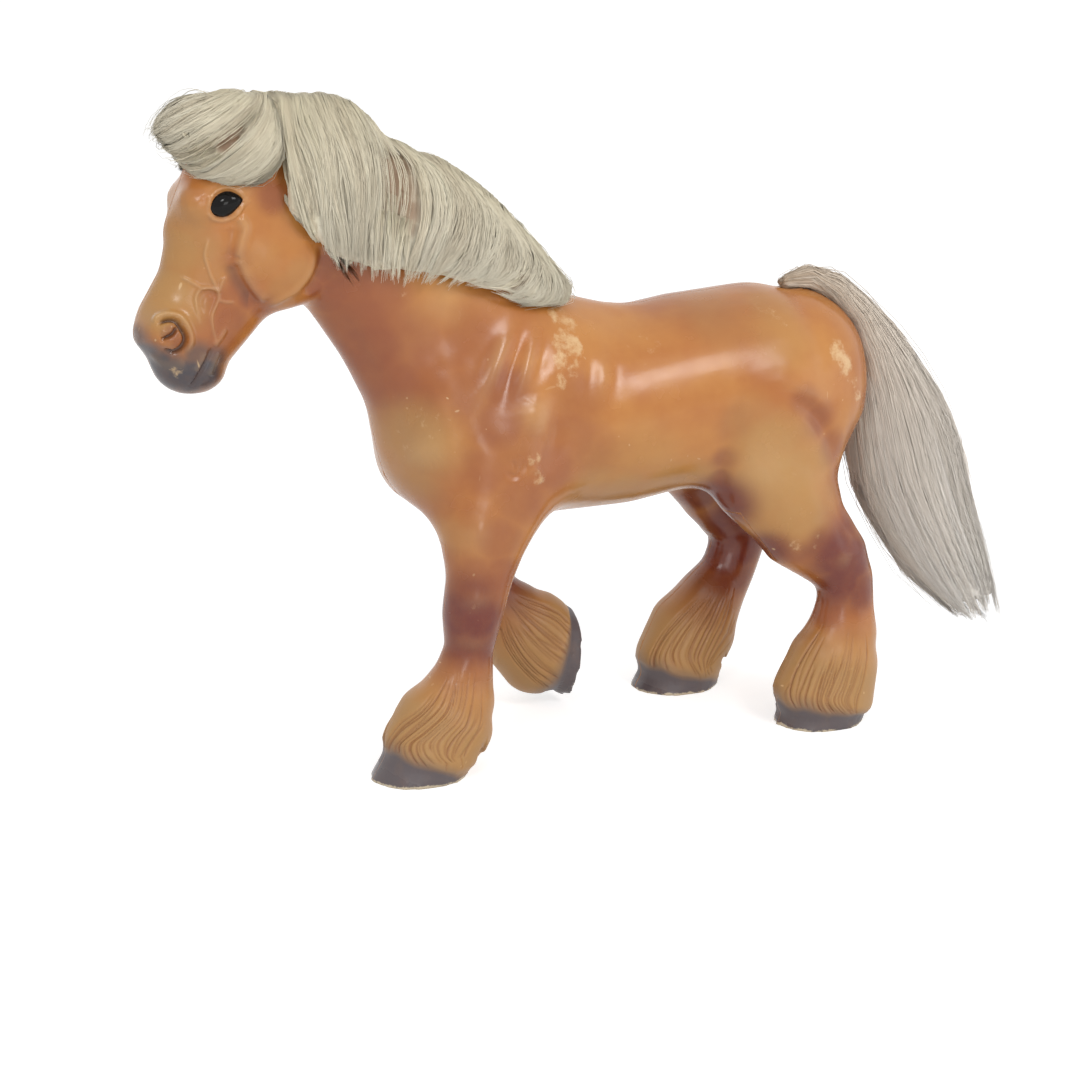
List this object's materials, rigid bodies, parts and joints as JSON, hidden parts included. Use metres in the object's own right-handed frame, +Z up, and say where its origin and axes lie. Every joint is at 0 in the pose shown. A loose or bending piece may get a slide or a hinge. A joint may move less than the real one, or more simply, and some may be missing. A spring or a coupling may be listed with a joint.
{
  "type": "toy farm animal figure",
  "caption": "Hollow moulded toy draft horse in cemented half shells, standing with one fore leg raised, with a loose fibre mane, forelock and hinged tail.",
  "frame": {"origin": "under the middle of the whole figure, on the ground plane that its soles stand on", "axes": "+Z up; the nose points along -X and the tail along +X; the left side faces -Y"},
  "size_m": [0.248, 0.0668, 0.1728],
  "materials": {
    "body_paint": "airbrushed satin paint, worn pale on the high spots",
    "eye_gloss": "gloss",
    "fibre": "dull combed fibre",
    "tail_fibre": "dull straight fibre",
    "plug_plastic": "matt",
    "strip_cloth": "woven tape",
    "knot_thread": "wound thread"
  },
  "bodies": {
    "root": {"left_body_shell": "body_paint", "right_body_shell": "body_paint", "left_fore_leg_cover": "body_paint", "left_hind_leg_cover": "body_paint", "right_fore_leg_cover": "body_paint", "right_hind_leg_cover": "body_paint", "left_eye": "eye_gloss", "right_eye": "eye_gloss", "mane_strip": "strip_cloth", "mane_hair": "fibre", "forelock_plug": "plug_plastic", "forelock_hair": "fibre", "tail_plug": "plug_plastic"},
    "tail_root": {"tail_knot": "knot_thread"},
    "tail": {"tail_hair": "tail_fibre"}
  },
  "joints": [
    {"name": "tail_swing", "type": "hinge", "parent": "root", "child": "tail_root", "pos_m": [0.05723, 0.00015, 0.11803], "axis": [0, 0, 1], "range_deg": [-12, 12], "stiffness_Nm_per_rad": 0.002},
    {"name": "tail_lift", "type": "hinge", "parent": "tail_root", "child": "tail", "pos_m": [0.05723, 0.00015, 0.11803], "axis": [0, -1, 0], "range_deg": [0, 55]}
  ]
}
